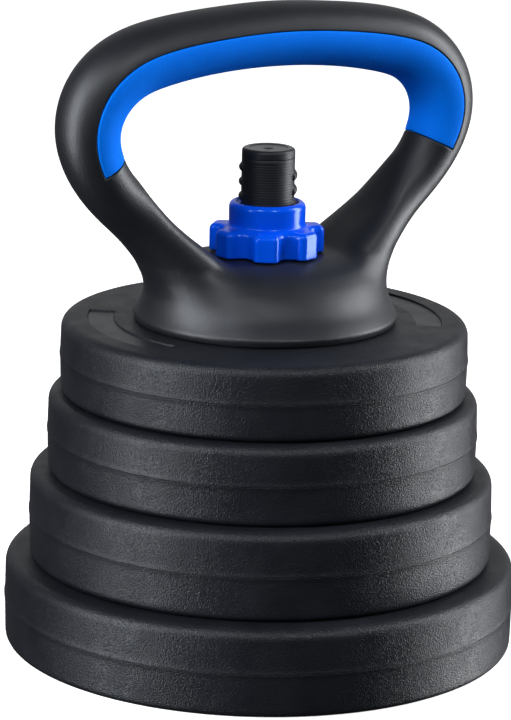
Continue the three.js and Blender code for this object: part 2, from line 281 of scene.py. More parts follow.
SHELL = plastic("shell_plastic", (0.0052, 0.0064, 0.0095), (0.0085, 0.0100, 0.0140), (0.40, 0.50),
                grain=0.00018, grain_size=0.0007, specular=0.33)
PANEL = plastic("shell_smooth", (0.0075, 0.0088, 0.0125), (0.0100, 0.0118, 0.0165), (0.34, 0.42),
                specular=0.42)
HANDLE = plastic("handle_plastic", (0.0058, 0.0068, 0.0095), (0.0078, 0.0090, 0.0125), (0.44, 0.48),
                 grain=0.00006, grain_size=0.0006, specular=0.5)
ROD = plastic("rod_plastic", (0.006, 0.007, 0.009), (0.009, 0.0105, 0.013), (0.48, 0.56),
              grain=0.00002, grain_size=0.0007, specular=0.45)
# The rod cap's flat top: the rod's plastic made glossier, and lighter in colour as a painted sheen for the
# light that the top reflects; the gloss is real
CAP_TOP_PAINTED_SHEEN = plastic("cap_top_painted_sheen", (0.010, 0.0115, 0.014), (0.014, 0.016, 0.019), (0.24, 0.32), specular=0.8)
GRIP = plastic("grip_rubber", (0.0, 0.170, 0.90), (0.001, 0.192, 0.96), (0.72, 0.82),
               grain=0.00008, grain_size=0.0007, specular=0.06)
NUT = plastic("nut_plastic", (0.0, 0.078, 0.78), (0.0, 0.090, 0.86), (0.17, 0.23),
              fine=0.000003, specular=0.38, tint=(0.45, 0.70, 1.0))
RUBBER = plastic("black_rubber", (0.010, 0.010, 0.011), (0.018, 0.018, 0.019), (0.7, 0.85),
                 grain=0.00004, grain_size=0.0006, specular=0.3)


def cement():
    n = Nodes("cement")
    speck = n.ramp(n.noise(900.0, 5.0, 0.7), 0.3, 0.75, 0.0, 1.0)
    n.set(Base_Color=n.mix(speck, (0.17, 0.165, 0.15), (0.36, 0.35, 0.33)), Roughness=0.92)
    pits = n.bump(n.cells(420.0), 0.0006)
    n.set(Normal=n.bump(n.noise(1500.0, 4.0), 0.0003, 1.0, pits))
    return n.material


def steel():
    n = Nodes("zinc_steel")
    spangle = n.ramp(n.cells(260.0), 0.0, 0.8, 0.0, 1.0)
    n.set(Base_Color=n.mix(spangle, (0.42, 0.43, 0.45), (0.60, 0.61, 0.62)), Metallic=1.0,
          Roughness=n.ramp(n.noise(350.0, 4.0), 0.3, 0.7, 0.24, 0.46),
          Normal=n.bump(n.noise(1800.0, 3.0), 0.00003))
    return n.material


CEMENT, STEEL = cement(), steel()


# ---------------------------------------------------------------- plates
def displaced(points, faces_rows, segments, depth, size):
    """Sinks grained rows of a ring of revolution along their normals by noise, up to depth."""
    rows = len(points) // segments
    grid = points.reshape(rows, segments, 3)
    along = np.roll(grid, -1, 0) - np.roll(grid, 1, 0)
    round_ = np.roll(grid, -1, 1) - np.roll(grid, 1, 1)
    normal = np.cross(round_, along)
    normal /= np.linalg.norm(normal, axis=-1, keepdims=True) + 1e-12
    chosen = np.zeros(rows)
    chosen[faces_rows] = 1.0
    relief = (noise(points, size) * 0.6 + noise(points + 31.7, size * 0.5) * 0.4).reshape(rows, segments)
    return (grid - normal * (relief * depth * chosen[:, None])[..., None]).reshape(-1, 3)


PLATES = ["base_plate", "lower_plate", "middle_plate", "top_plate"]
PANELS = [(144.0, 205.0), (-36.0, 25.0)]  # from and to, in degrees
PANEL_INNER, PANEL_OUTER, PANEL_DEPTH = 70.0, 82.0, 0.8
FOOT_RADIUS = 61.3  # of the handle's lip on the top plate
FINE = 1.15  # step of the visible rows
COARSE = 9.0
GRAIN_DEPTH, GRAIN_SIZE = 0.07, 1.7
SEAM_ROWS = 4  # rows of the ridge at the seam, left smooth
UNDER_BAND, UNDER_ROWS = 14, 10  # finer rows at the edge of the underside, and how many are grained
SIDE_INSET = 0.3  # of the side from the ridge at the seam
BORE_EDGE, PLUG_EDGE = 0.6, 0.5

for index, plate in enumerate(PLATES):
    body = "base" if index == 0 else plate
    upper_low, upper_high = span(plate + "_upper_shell")
    lower_low, _ = span(plate + "_lower_shell")
    radius = upper_high[0]
    seam, bottom = upper_low[2], lower_low[2]
    lid = upper_high[2]
    is_top = plate == "top_plate"
    rim = radius - DRAFT
    ridge = radius - SIDE_INSET
    inside = radius - SHELL_WALL
    sleeve = PLATE_BORE + SHELL_WALL
    # Nearer the axis than this the lid is under the next piece, and its rows are coarse.
    covered = FOOT_RADIUS - 4 if is_top else span(PLATES[index + 1] + "_lower_shell")[1][0] - 7.0

    # Upper half shell: flash ridge at the seam, drafted side, round corner, top and bore.
    side = [(radius - 0.1, seam), (radius, seam + 0.1), (radius - 0.04, seam + 0.6),
            (ridge + 0.14, seam + 1.2), (ridge + 0.03, seam + 1.9)]
    side += run((ridge - 0.02, seam + 2.8), (rim, lid - TOP_CORNER), FINE)
    side += arc(rim - TOP_CORNER, lid - TOP_CORNER, TOP_CORNER, 0, 90, 9)
    if is_top:
        face = run((rim - TOP_CORNER - FINE, lid), (PANEL_OUTER + 0.5, lid), FINE)
        face += [(PANEL_OUTER + 0.25, lid), (PANEL_OUTER - 0.25, lid)]
        face += run((PANEL_OUTER - 1.2, lid), (PANEL_INNER + 0.6, lid), FINE)
        face += [(PANEL_INNER + 0.25, lid), (PANEL_INNER - 0.25, lid)]
        face += run((PANEL_INNER - 1.2, lid), (covered, lid), FINE)
    else:
        face = run((rim - TOP_CORNER - FINE, lid), (covered, lid), FINE)
    crown = run((covered, lid), (PLATE_BORE + 1, lid), COARSE)
    crown += arc(PLATE_BORE + BORE_EDGE, lid - BORE_EDGE, BORE_EDGE, 90, 180, 3)
    inner = [(PLATE_BORE, seam), (sleeve, seam), (sleeve, lid - SHELL_WALL),
             (inside - TOP_CORNER, lid - SHELL_WALL), (inside - DRAFT, lid - SHELL_WALL - TOP_CORNER),
             (inside, seam)]
    profile = side + face + crown + inner
    points, quads = revolve(profile, AROUND)
    grained = np.arange(SEAM_ROWS, len(side) + len(face))
    points = displaced(points, grained, AROUND, GRAIN_DEPTH, GRAIN_SIZE)
    flags = np.zeros(len(quads), int)
    if is_top:
        grid = points.reshape(len(profile), AROUND, 3)
        flat = np.array(profile)
        degree = np.arange(AROUND) * 360.0 / AROUND
        rows = np.flatnonzero((flat[:, 0] < PANEL_OUTER) & (flat[:, 0] > PANEL_INNER)
                              & (np.arange(len(profile)) >= len(side))
                              & (np.arange(len(profile)) < len(side) + len(face)))
        quad_flags = flags.reshape(len(profile), AROUND)
        for start, end in PANELS:
            columns = np.flatnonzero((degree - start) % 360 <= end - start)
            sunk = np.ix_(rows, columns)
            grid[..., 2][sunk] = lid - PANEL_DEPTH
            quad_flags[np.ix_(rows[:-1], columns[:-1])] = 1
        points = grid.reshape(-1, 3)
        flags = quad_flags.ravel()
    piece = make(plate + "_upper_moulding", points, quads.tolist(), [SHELL, PANEL], body,
                 [plate + "_upper_shell"])
    piece.data.polygons.foreach_set("material_index", flags)

    # Lower half shell.
    low_side = run((rim, bottom + BOTTOM_CORNER), (ridge - 0.02, seam - 2.8), FINE)
    low_side += [(ridge - 0.02, seam - 2.8), (ridge + 0.03, seam - 1.9), (ridge + 0.14, seam - 1.2),
                 (radius - 0.06, seam - 0.6), (radius - 0.03, seam - 0.25), (radius - 0.12, seam - 0.15)]
    under = arc(PLATE_BORE + BORE_EDGE, bottom + BORE_EDGE, BORE_EDGE, 180, 270, 3)
    under += run((PLATE_BORE + 4, bottom), (rim - BOTTOM_CORNER - UNDER_BAND, bottom), COARSE)
    under += run((rim - BOTTOM_CORNER - UNDER_BAND, bottom), (rim - BOTTOM_CORNER, bottom), 2.2)
    under += arc(rim - BOTTOM_CORNER, bottom + BOTTOM_CORNER, BOTTOM_CORNER, -90, 0, 5)[:-1]
    profile = [(sleeve, seam - GAP / 2), (PLATE_BORE, seam - GAP / 2), *under, *low_side,
               (inside, seam - GAP / 2), (inside - DRAFT, bottom + SHELL_WALL + BOTTOM_CORNER),
               (inside - DRAFT - BOTTOM_CORNER, bottom + SHELL_WALL)]
    if index == 0:
        profile += [(POCKET_WALL, bottom + SHELL_WALL), (POCKET_WALL, POCKET_ROOF), (sleeve, POCKET_ROOF)]
    else:
        profile.append((sleeve, bottom + SHELL_WALL))
    points, quads = revolve(profile, AROUND)
    grained = np.arange(2 + len(under) - UNDER_ROWS, 2 + len(under) + len(low_side) - SEAM_ROWS)
    points = displaced(points, grained, AROUND, GRAIN_DEPTH, GRAIN_SIZE)
    lower = make(plate + "_lower_moulding", points, quads.tolist(), [SHELL], body,
                 [plate + "_lower_shell"])

    # The filler hole and its plug, and in the base the hexagonal pocket of the rod's foot.
    offset = np.array([PLUG_AT, 0, 0])
    hole, hole_faces = solid_turned([(PLUG_RADIUS + GAP, bottom - 1),
                                     (PLUG_RADIUS + GAP, bottom + SHELL_WALL + 1)], 64)
    tools = [(hole + offset, hole_faces)]
    if index == 0:
        tools.append(solid_turned([(POCKET_SIZE, -1), (POCKET_SIZE, POCKET_TOP)], 6, math.pi / 6))
    cut(lower, tools)
    plug_low, plug_high = span(plate + "_filler_plug")
    plug = (arc(PLUG_RADIUS - PLUG_EDGE, plug_low[2] + PLUG_EDGE, PLUG_EDGE, -90, 0, 4)
            + arc(PLUG_RADIUS - PLUG_EDGE, plug_high[2] - PLUG_EDGE, PLUG_EDGE, 0, 90, 4))
    plug_points, plug_faces = solid_turned(plug, 64)
    make(plate + "_rubber_plug", plug_points + offset, plug_faces, RUBBER, body,
         [plate + "_filler_plug"])


# ---------------------------------------------------------------- surfaces from fields
def smooth_max(a, b, k):
    """The larger of two fields, blended where they are within k of each other."""
    near = np.maximum(k - np.abs(a - b), 0.0) / k
    return np.maximum(a, b) + near * near * k / 4


def smooth_min(a, b, k):
    return -smooth_max(-a, -b, k)


def round_max(a, b, radius):
    """The meeting of two solids, with a circular edge of that radius where they are square."""
    return (np.minimum(np.maximum(a, b), -radius)
            + np.hypot(np.maximum(a + radius, 0.0), np.maximum(b + radius, 0.0)))


def slope_of(field, p):
    step = 0.05
    parts = [field(*(p + step * axis).T) - field(*(p - step * axis).T) for axis in np.eye(3)]
    return np.stack(parts, axis=-1) / (2 * step)


def settled(field, points, times=2):
    """Points moved onto the surface where the field is zero."""
    for _ in range(times):
        slope = slope_of(field, points)
        size = np.maximum((slope * slope).sum(1), 0.05)
        move = slope * (field(*points.T) / size)[:, None]
        length = np.linalg.norm(move, axis=1, keepdims=True)
        points = points - move * np.minimum(1.0, 0.6 / np.maximum(length, 1e-9))
    return points


def iso_surface(field, low, high, step, relax=3):
    """Points and quads of the closed surface where a field changes sign (a surface net)."""
    axes = [np.arange(a, b + step, step) for a, b in zip(low, high)]
    value = field(*np.meshgrid(*axes, indexing="ij"))
    inside = value < 0
    shape = tuple(n - 1 for n in value.shape)
    corners = [np.array((i, j, k)) for i in (0, 1) for j in (0, 1) for k in (0, 1)]
    count = sum(inside[tuple(slice(c, c + n) for c, n in zip(corner, shape))].astype(np.int8)
                for corner in corners)
    active = (count > 0) & (count < 8)
    cells = np.argwhere(active)
    index = np.full(shape, -1)
    index[active] = np.arange(len(cells))
    total, hits = np.zeros((len(cells), 3)), np.zeros(len(cells))
    for corner in corners:
        for axis in np.flatnonzero(corner == 0):
            other = corner + np.eye(3, dtype=int)[axis]
            a, b = value[tuple((cells + corner).T)], value[tuple((cells + other).T)]
            crossed = (a < 0) != (b < 0)
            share = np.where(crossed, a / np.where(crossed, a - b, 1.0), 0.0)
            total += (corner + share[:, None] * (other - corner)) * crossed[:, None]
            hits += crossed
    points = np.array(low) + step * (cells + total / hits[:, None])
    quads = []
    for axis in range(3):
        u, v = np.eye(3, dtype=int)[(axis + 1) % 3], np.eye(3, dtype=int)[(axis + 2) % 3]
        ends = [np.take(inside, np.arange(k, inside.shape[axis] - 1 + k), axis) for k in (0, 1)]
        edges = np.argwhere(ends[0] != ends[1])
        edges = edges[(edges > u + v - 1).all(1) & (edges < np.array(shape)).all(1)]
        quad = np.stack([index[tuple((edges + d).T)] for d in (-u - v, -v, 0 * u, -u)], axis=1)
        outward = inside[tuple(edges.T)]
        quads.append(np.where(outward[:, None], quad, quad[:, ::-1]))
    quads = np.concatenate(quads)
    points = settled(field, points)
    links = np.concatenate([quads[:, [k, (k + 1) % 4]] for k in range(4)])
    links = np.concatenate([links, links[:, ::-1]])
    number = np.bincount(links[:, 0], minlength=len(points))[:, None]
    for _ in range(relax):
        mean = np.stack([np.bincount(links[:, 0], points[links[:, 1], k], len(points))
                         for k in range(3)], axis=1) / number
        points = settled(field, points + 0.5 * (mean - points), 1)
    return settled(field, points, 1), quads


def spline(at, values):
    """A natural cubic spline through values at rising places, as a function of place."""
    at, values = np.array(at, float), np.array(values, float)
    h = np.diff(at)
    n = len(at)
    system, right = np.eye(n), np.zeros((n, values.shape[1]))
    for i in range(1, n - 1):
        system[i, i - 1:i + 2] = h[i - 1], 2 * (h[i - 1] + h[i]), h[i]
        right[i] = 6 * ((values[i + 1] - values[i]) / h[i] - (values[i] - values[i - 1]) / h[i - 1])
    bend = np.linalg.solve(system, right)

    def value(where):
        where = np.atleast_1d(where)
        i = np.clip(np.searchsorted(at, where) - 1, 0, n - 2)
        d, left, w = h[i][:, None], (where - at[i])[:, None], (at[i + 1] - where)[:, None]
        return (bend[i] * w ** 3 / (6 * d) + bend[i + 1] * left ** 3 / (6 * d)
                + (values[i] / d - bend[i] * d / 6) * w
                + (values[i + 1] / d - bend[i + 1] * d / 6) * left)

    return value


# ---------------------------------------------------------------- handle
# Half of the loop's centre line from its root to the crown: place in the XZ plane, and half the
# bar's thickness in that plane and across it.
HALF_LOOP = [(34, 172, 18, 30), (55, 195, 14.6, 21), (66, 205.4, 13.2, 17), (78, 216, 12.6, 14.8),
             (88.4, 230, 13.3, 14.8), (93, 247, 14.4, 15.9), (88.2, 263.3, 15.2, 17),
             (75, 275.3, 15.4, 17.5), (57.5, 281.1, 15.3, 17.4), (30, 285, 14.8, 17.3),
             (0, 286.5, 14.8, 17.1)]
LOOP = np.array([(-x, z, a, b) for x, z, a, b in HALF_LOOP] + HALF_LOOP[-2::-1], float)
LOOP[:, 1] -= max(0.0, LOOP[10, 1] + LOOP[10, 2] - BODY_HIGH[2])  # the crown ends where the CAD's does
MILES = np.concatenate([[0], np.cumsum(np.linalg.norm(np.diff(LOOP[:, :2], axis=0), axis=1))])
BAR = spline(MILES, LOOP)
GRIP_START, GRIP_END = MILES[4], MILES[16]
GUIDE_RADIUS, HOLLOW_TOP, LIP_HEIGHT, LIP_SLOPE = 19.0, 179.5, 156.8, 0.33
DECK, NECK_TOP = 184.5, 196
FADE_FROM, FADE_OVER = 206, 20  # heights over which the saddle's edge becomes sharper
FIELD_LOW, FIELD_HIGH, FIELD_REACH = 150, 256, 125  # the tables' heights and half width

# The neck's half sizes along X and Y by height, the saddle's height by X, and the hollow's radius.
NECK = [(150, 64.6, 67.4), (LIP_HEIGHT, 61.35, 61.5), (160, 59.8, 58.4), (164, 58.8, 54),
        (169, 58, 50), (174, 58.2, 45.6), (178, 59, 40.6), (181.5, 60.6, 34.8), (DECK, 62.6, 27.8),
        (188, 64.8, 19.5), (192, 63.5, 13), (197, 60, 6)]
SADDLE = [(29.5, DECK), (40, 193), (50, 201), (60, 211.5), (65, 218), (69, 225), (71.5, 231.5),
          (73, 238), (74, 246)]
HOLLOW = [(150, 54), (FOOT + 2, 54), (165, 47), (175, 41), (HOLLOW_TOP, 34)]


def bar_frame(s):
    """Centre, inward direction and half sizes of the bar at places along it."""
    here, ahead = BAR(s), BAR(np.atleast_1d(s) + 0.01)
    along = ahead[:, :2] - here[:, :2]
    along /= np.linalg.norm(along, axis=1, keepdims=True)
    return here, np.stack([along[:, 1], -along[:, 0]], axis=1), along


def bar_ring(s, outline):
    """Points round the bar at s for [angle from the inner side, depth under the surface]."""
    here, inward, _ = bar_frame(s)
    x, z, thick, wide = here[0]
    angle, depth = np.radians(np.array(outline)[:, 0]), np.array(outline)[:, 1]
    out = (thick - depth) * np.cos(angle)
    return np.stack([x + out * inward[0, 0], (wide - depth) * np.sin(angle),
                     z + out * inward[0, 1]], axis=1)


# The bar's place, half sizes and distance over a table in the XZ plane, for the right arm.
TABLE_LOW, TABLE_STEP, FINE_STEP = np.array([0.0, FIELD_LOW]), 0.5, 0.1
table_x, table_z = np.meshgrid(np.arange(0, FIELD_REACH, TABLE_STEP),
                               np.arange(FIELD_LOW, FIELD_HIGH, TABLE_STEP), indexing="ij")
arm = MILES[-1] - np.arange(0, MILES[6], 0.25)
arm_at, arm_inward, _ = bar_frame(arm)
flat = np.stack([table_x.ravel(), table_z.ravel()], axis=1)
nearest = np.concatenate([((part[:, None] - arm_at[None, :, :2]) ** 2).sum(-1).argmin(1)
                          for part in np.array_split(flat, 40)])
offset = flat - arm_at[nearest, :2]
across = (offset * arm_inward[nearest]).sum(1)
beyond = nearest == 0
across[beyond] = np.linalg.norm(offset[beyond], axis=1)
BAR_TABLE = np.stack([across, arm_at[nearest, 2], arm_at[nearest, 3]]).reshape(3, *table_x.shape)

HEIGHTS = np.arange(FIELD_LOW, FIELD_HIGH, FINE_STEP)
NECK_TABLE = spline([k[0] for k in NECK], [k[1:] for k in NECK])(
    np.clip(HEIGHTS, NECK[0][0], NECK[-1][0]))
HOLLOW_TABLE = np.interp(HEIGHTS, *np.array(HOLLOW).T)
SADDLE_X = np.arange(0, FIELD_REACH, FINE_STEP)
saddle_curve = spline([k[0] for k in SADDLE], [[k[1]] for k in SADDLE])(
    np.clip(SADDLE_X, SADDLE[0][0], SADDLE[-1][0]))[:, 0]
saddle_curve += np.maximum(SADDLE_X - SADDLE[-1][0], 0) * 10
bell = np.exp(-0.5 * (np.arange(-60, 61) / 18.0) ** 2)
SADDLE_TABLE = np.convolve(np.pad(saddle_curve, 60, mode="edge"), bell / bell.sum(), "valid")
SADDLE_SLOPE = np.gradient(SADDLE_TABLE, FINE_STEP)


def in_table(table, x, z):
    q = (np.stack([x, z]) - TABLE_LOW.reshape(2, *[1] * x.ndim)) / TABLE_STEP
    q[0] = np.clip(q[0], 0, table.shape[1] - 1.001)
    q[1] = np.clip(q[1], 0, table.shape[2] - 1.001)
    i, j = q.astype(int)
    f, g = q[0] - i, q[1] - j
    return ((table[:, i, j] * (1 - f) + table[:, i + 1, j] * f) * (1 - g)
            + (table[:, i, j + 1] * (1 - f) + table[:, i + 1, j + 1] * f) * g)


def oval(a, b, half_a, half_b):
    """Distance to an ellipse's outline, good near it."""
    near = np.hypot(a / half_a, b / half_b)
    return near * (near - 1) / np.maximum(np.hypot(a / half_a ** 2, b / half_b ** 2), 1e-6)


def handle_field(x, y, z):
    """Below zero inside the lower handle: both arms and the neck, hollow from below."""
    side = np.abs(x)
    u, thick, wide = in_table(BAR_TABLE, side, z)
    arms = oval(u, y, thick, wide)
    neck_x, neck_y = (np.interp(z, HEIGHTS, NECK_TABLE[:, k]) for k in (0, 1))
    lip = np.hypot(x, y) - FOOT_RADIUS + LIP_SLOPE * np.maximum(0.0, LIP_HEIGHT - z)
    neck = round_max(np.maximum(oval(side, y, neck_x, neck_y), z - NECK_TOP), lip, 0.5)
    body = smooth_min(arms, neck, 7.0)
    rise = np.interp(side, SADDLE_X, SADDLE_SLOPE)
    above = (z - np.interp(side, SADDLE_X, SADDLE_TABLE)) / np.hypot(1.0, rise)
    fade = np.clip((z - FADE_FROM) / FADE_OVER, 0, 1)
    body = smooth_max(body, above, 6.5 - 5.5 * fade)
    radius = np.hypot(x, y)
    hollow = np.maximum(np.maximum(GUIDE_RADIUS - radius, radius - np.interp(z, HEIGHTS, HOLLOW_TABLE)),
                        z - HOLLOW_TOP)
    body = np.maximum(body, -hollow)
    body = round_max(body, FOOT - z, 0.4)
    return round_max(body, PLATE_BORE - radius, 1.4)


# The bar's outline round the grip's recess: [angle, depth], and the depth is only used there.
GRIP_ANGLE, GRIP_DEPTH = 102.3, 3.0
RECESS = GRIP_DEPTH + GAP
LIP = [(GRIP_ANGLE + 3.6, 0.0), (GRIP_ANGLE + 2.6, 0.02), (GRIP_ANGLE + 1.8, 0.10),
       (GRIP_ANGLE + 1.25, 0.30), (GRIP_ANGLE + 1.0, 0.62), (GRIP_ANGLE + 0.9, RECESS)]
back = np.linspace(GRIP_ANGLE + 6.0, 360 - GRIP_ANGLE - 6.0, 44)
floor_half = GRIP_ANGLE - 2.0
inner_side = np.linspace(-floor_half, floor_half, 56)
OUTLINE = ([(a, 0.0) for a in back] + [(360 - a, d) for a, d in LIP]
           + [(a + 360, RECESS) for a in inner_side] + [(a + 360, d) for a, d in LIP[::-1]])


def at_depth(depth):
    return [(a, min(d, depth)) for a, d in OUTLINE]


JOIN = GRIP_START - 4.2  # where the swept bar takes over from the field
END_ROUND = [(-1.1, 0.0), (-0.75, 0.02), (-0.5, 0.10), (-0.3, 0.30), (-0.22, 0.62), (-0.2, RECESS)]
steps = ([(JOIN - GRIP_START + 1.0, 0.0), (-2.2, 0.0)] + END_ROUND + [(0.8, RECESS)])
middle = np.linspace(2.0, (GRIP_END - GRIP_START) - 2.0, 200)
bar_rings = ([bar_ring(GRIP_START + d, at_depth(h)) for d, h in steps]
             + [bar_ring(GRIP_START + d, OUTLINE) for d in middle]
             + [bar_ring(GRIP_END - d, at_depth(h)) for d, h in steps[::-1]])
bar_points, bar_faces = skin(bar_rings, closed_ends=False)

core_points, core_faces = iso_surface(handle_field, (-112, -68, 152), (112, 68, 244), 1.0)


def built(name, points, faces):
    mesh = bpy.data.meshes.new(name)
    mesh.from_pydata(np.asarray(points).tolist(), [], [tuple(f) for f in faces])
    return mesh


def angle_round(s, points):
    """Each point's angle round the bar at s, from 0 to 360 degrees."""
    here, inward, _ = bar_frame(s)
    x, z, thick, wide = here[0]
    out = ((points[:, [0, 2]] - (x, z)) * inward[0]).sum(1)
    return np.degrees(np.arctan2(points[:, 1] / wide, out / thick)) % 360


def handle_mesh():
    """The field's surface below the join, sewn to the swept bar."""
    bm = bmesh.new()
    bm.from_mesh(built("core", core_points, core_faces.tolist()))
    for s, sense in ((JOIN, 1), (MILES[-1] - JOIN, -1)):
        here, _, along = bar_frame(s)
        geometry = bm.verts[:] + bm.edges[:] + bm.faces[:]
        bmesh.ops.bisect_plane(bm, geom=geometry, dist=0.02,
                               plane_co=(here[0, 0], 0, here[0, 1]),
                               plane_no=(sense * along[0, 0], 0, sense * along[0, 1]), clear_outer=True)
    bm.verts.ensure_lookup_table()
    bm.verts.index_update()
    rim = [v for v in bm.verts if v.is_boundary]
    count = len(OUTLINE)
    swept = [bm.verts.new(p) for p in bar_points]
    for face in bar_faces:
        bm.faces.new([swept[k] for k in face])
    for s, ring_start in ((JOIN, 0), (MILES[-1] - JOIN, len(bar_points) - count)):
        sign = -1 if s == JOIN else 1
        mine = [v for v in rim if v.co.x * sign > 0]
        degrees = angle_round(s, np.array([v.co[:] for v in mine]))
        for v, a in zip(mine, degrees):
            v.co = bar_ring(s, [(a, 0.0)])[0]
        a_order = sorted(zip(degrees, range(len(mine))))
        lower = [(a, mine[k]) for a, k in a_order]
        ring = swept[ring_start:ring_start + count]
        b_order = sorted((a % 360, k) for k, (a, _) in enumerate(OUTLINE))
        upper = [(a, ring[k]) for a, k in b_order]
        i = j = 0
        while i < len(lower) or j < len(upper):
            a, b = lower[i % len(lower)][1], upper[j % len(upper)][1]
            next_a = lower[(i + 1) % len(lower)][0] + 360 * ((i + 1) // len(lower))
            next_b = upper[(j + 1) % len(upper)][0] + 360 * ((j + 1) // len(upper))
            if j >= len(upper) or (i < len(lower) and next_a < next_b):
                bm.faces.new((a, lower[(i + 1) % len(lower)][1], b))
                i += 1
            else:
                bm.faces.new((a, upper[(j + 1) % len(upper)][1], b))
                j += 1
    bmesh.ops.recalc_face_normals(bm, faces=bm.faces[:])
    mesh = bpy.data.meshes.new("handle")
    bm.to_mesh(mesh)
    bm.free()
    return mesh


sewn = handle_mesh()
sewn_points = np.array([v.co[:] for v in sewn.vertices])
make("handle_moulding", sewn_points, [tuple(p.vertices) for p in sewn.polygons], HANDLE, "handle",
     ["handle_body"], 42)

# The grip fills the recess: a band with softly rounded edges and ends.
PROUD = -0.12
EDGE = [(GRIP_ANGLE, 0.9), (GRIP_ANGLE - 0.12, 0.45), (GRIP_ANGLE - 0.55, 0.14), (GRIP_ANGLE - 1.3, 0.0),
        (GRIP_ANGLE - 2.6, -0.08)]
over = np.linspace(-GRIP_ANGLE + 5.2, GRIP_ANGLE - 5.2, 56)
under = np.linspace(GRIP_ANGLE - 0.4, -GRIP_ANGLE + 0.4, 40)
BAND = ([(-a, d) for a, d in EDGE] + [(a, PROUD) for a in over] + EDGE[::-1]
        + [(a, GRIP_DEPTH) for a in under])
END_EDGE = [(0.1, 0.9), (0.14, 0.45), (0.3, 0.14), (0.6, 0.0), (1.1, -0.08)]


def band_ring(s, sunk):
    return bar_ring(s, [(a, max(d, sunk)) for a, d in BAND])


grip_rings = ([band_ring(GRIP_START + d, h) for d, h in END_EDGE]
              + [band_ring(GRIP_START + d, PROUD) for d in middle]
              + [band_ring(GRIP_END - d, h) for d, h in END_EDGE[::-1]])
grip_points, grip_faces = skin(grip_rings)
make("grip_band", grip_points, grip_faces, GRIP, "handle", ["grip_insert"], 50)

# ---------------------------------------------------------------- rod, cap and thread
PITCH_OF_THREAD, RIDGE, RIDGE_AT, THREAD_RISE = 6.8, 2.3, 11.2, -2.5
SECTOR_MIDDLE, SECTOR_HALF = math.radians(-30.0), math.radians(24.0)
THREAD_FROM, THREAD_TO, THREAD_CLEARANCE = 181.0, 228.2, 0.4
RIB_STEP, RIB_DEPTH = 1.2, 0.13
CAP_BOTTOM = ROD_HIGH[2]


def thread_radius(z, angle, clearance=0.0):
    """The thread's outer radius: one round ridge that climbs a pitch for each turn to the left."""
    turn = (z - THREAD_RISE) / PITCH_OF_THREAD - angle / (2 * np.pi)
    away = (turn - np.round(turn)) * PITCH_OF_THREAD
    middle_height = z - away
    ridge = RIDGE + clearance
    crest = RIDGE_AT + np.sqrt(np.maximum(0.0, ridge ** 2 - away ** 2))
    if clearance == 0.0:
        there = np.clip((THREAD_TO - 1.6 - middle_height) / 1.3, 0, 1) \
            * np.clip((middle_height - THREAD_FROM - 0.5) / 2.0, 0, 1)
        # The ridge is cut away at the front and the back, where the rod is finely ribbed.
        from_middle = np.abs((angle - SECTOR_MIDDLE + np.pi / 2) % np.pi - np.pi / 2)
        sector = np.clip((SECTOR_HALF + 0.05 - from_middle) / 0.1, 0, 1)
        there = there * sector
        rib = RIB_DEPTH * (1 - sector) * (0.5 - 0.5 * np.cos(2 * np.pi * z / RIB_STEP))
        crest = RIDGE_AT + (crest - RIDGE_AT) * (there * there * (3 - 2 * there))
        return smooth_max(crest, ROD_RADIUS - rib, 0.3)
    return smooth_max(crest, np.full_like(crest, ROD_RADIUS + clearance), 0.5)


ROUND = 180
theta = 2 * np.pi * np.arange(ROUND) / ROUND


def level(z, radius):
    radius = np.broadcast_to(radius, ROUND)
    return np.stack([radius * np.cos(theta), radius * np.sin(theta), np.full(ROUND, z)], axis=1)


bore_radius = 9.5
rod_rings = [level(ROD_LOW[2], bore_radius), level(ROD_LOW[2], ROD_RADIUS - 0.4),
             level(ROD_LOW[2] + 0.4, ROD_RADIUS)]
rod_rings += [level(z, ROD_RADIUS) for z in np.linspace(ROD_LOW[2] + 5, THREAD_FROM - 1, 20)]
rod_rings += [level(z, thread_radius(np.full(ROUND, z), theta))
              for z in np.arange(THREAD_FROM, THREAD_TO, 0.26)]
rod_rings += [level(CAP_BOTTOM - 0.1, ROD_RADIUS), level(CAP_BOTTOM, ROD_RADIUS - 0.1),
              level(CAP_BOTTOM, bore_radius)]
rod_rings.append(rod_rings[0])
rod_points, rod_faces = skin(rod_rings, closed_ends=False)
loop_count = len(rod_rings) - 1
rod_faces = [tuple(k % (loop_count * ROUND) for k in f) for f in rod_faces]
make("rod_thread", rod_points[:loop_count * ROUND], rod_faces, ROD, "base",
     ["rod_sleeve"], 50)


top = CAP_HIGH[2]
cap = [(6.2, CAP_LOW[2]), (6.2, CAP_BOTTOM + 0.2), (ROD_RADIUS - 0.1, CAP_BOTTOM + 0.2),
       (ROD_RADIUS, CAP_BOTTOM + 0.3)]
cap += arc(ROD_RADIUS - 1.7, top - 1.7, 1.7, 0, 90, 7)
cap += [(9.2, top - 0.02), (8.8, top - 0.12), (8.5, top - 0.34), (8.1, top - 0.45), (5, top - 0.47),
        (2.6, top - 0.47), (2.3, top - 0.42), (2.05, top - 0.2), (1.6, top - 0.12), (0.8, top - 0.16),
        (0.5, top - 0.3), (0.05, top - 0.34)]
cap_points, cap_faces = solid_turned(cap, 96)
rod_cap = make("rod_cap", cap_points, cap_faces, [ROD, CAP_TOP_PAINTED_SHEEN], "base", ["rod_top_cap"], 40)
# Faces that point up take the lighter top material, whose lighter colour is a painted sheen; the cap's
# sides keep the rod's plastic
rod_cap.data.polygons.foreach_set("material_index", [int(f.normal.z > 0.9) for f in rod_cap.data.polygons])

# ---------------------------------------------------------------- star nut and gasket
LOBES, TIP, NOTCH, NOTCH_AT = 7, 26.4, 5.4, 26.2
PHASE = math.radians(-120)
HUB, FLANGE_TOP, NUT_TOP, NUT_BOTTOM = 17.7, 197.6, NUT_HIGH[2], NUT_LOW[2]
GASKET_ROOM = 0.9  # wider than the other gaps, as the recess has a rounded inner corner


